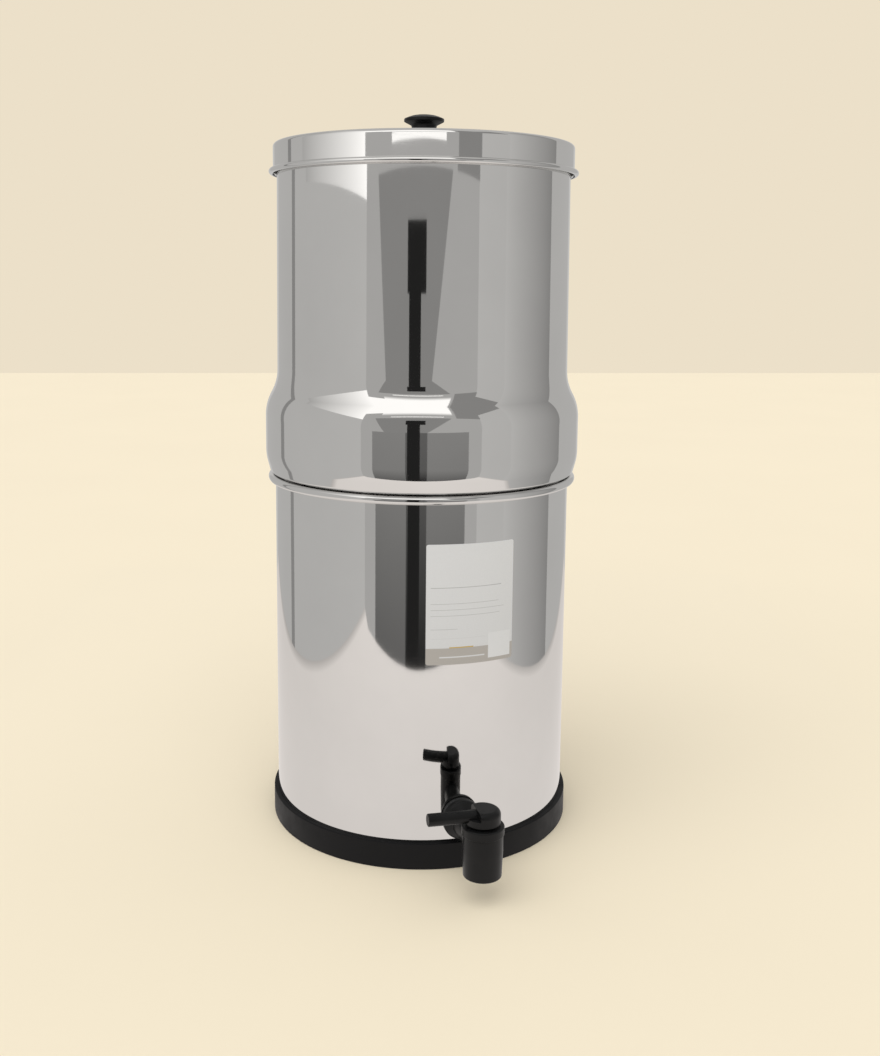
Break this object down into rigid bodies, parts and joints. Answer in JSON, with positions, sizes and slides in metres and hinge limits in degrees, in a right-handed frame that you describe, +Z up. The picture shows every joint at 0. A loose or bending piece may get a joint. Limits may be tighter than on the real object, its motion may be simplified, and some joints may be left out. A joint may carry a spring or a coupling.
{
  "type": "gravity water filter with tap",
  "caption": "Two stacked stainless steel chambers with a loose lid, ceramic filter candles inside, a black base ring and a plug tap with a side lever.",
  "frame": {"origin": "centre of the base, on the surface that the filter stands on", "axes": "+Z up along the chambers' common axis, -Y out of the tap's side, +X to the right of someone who faces the tap"},
  "size_m": [0.2232, 0.2769, 0.5022],
  "materials": {
    "polished_steel": "mirror-polished stainless steel sheet",
    "plain_steel": "plain stainless steel screw",
    "black_plastic": "moulded, slightly glossy",
    "black_matte_plastic": "moulded, matt",
    "white_plastic": "moulded, matt",
    "base_rubber": "moulded, satin",
    "seal_rubber": "moulded, matt",
    "white_ceramic": "unglazed, fine pored",
    "carbon": "pressed granules",
    "label_paper": "coated, printed"
  },
  "bodies": {
    "lower_chamber": {"lower_chamber": "polished_steel", "base_ring": "base_rubber", "label_sticker": "label_paper", "tap_body": "black_plastic", "tap_outer_washer": "seal_rubber", "tap_inner_washer": "seal_rubber", "tap_lock_nut": "black_plastic", "tap_collar": "black_plastic"},
    "upper_chamber": {"upper_chamber": "polished_steel", "left_ceramic_shell": "white_ceramic", "right_ceramic_shell": "white_ceramic", "left_carbon_core": "carbon", "right_carbon_core": "carbon", "left_candle_base": "white_plastic", "right_candle_base": "white_plastic", "candle_sealing_washers": "seal_rubber", "candle_wing_nuts": "white_plastic", "hole_plugs": "black_matte_plastic", "hole_plug_washers": "seal_rubber", "hole_plug_nuts": "black_matte_plastic"},
    "lid": {"lid": "polished_steel", "lid_knob": "black_plastic", "knob_screw": "plain_steel", "knob_washer": "seal_rubber"},
    "tap_handle": {"tap_handle": "black_plastic", "tap_plug": "black_plastic", "plug_o_rings": "seal_rubber"}
  },
  "joints": [
    {"name": "upper_chamber_lift", "type": "slide", "parent": "lower_chamber", "child": "upper_chamber", "axis": [0, 0, 1], "range_m": [0, 0.06]},
    {"name": "lid_lift", "type": "slide", "parent": "upper_chamber", "child": "lid", "axis": [0, 0, 1], "range_m": [0, 0.04]},
    {"name": "tap_turn", "type": "hinge", "parent": "lower_chamber", "child": "tap_handle", "pos_m": [0, -0.1517, 0.0346], "axis": [0, 0, 1], "range_deg": [0, 90]}
  ]
}
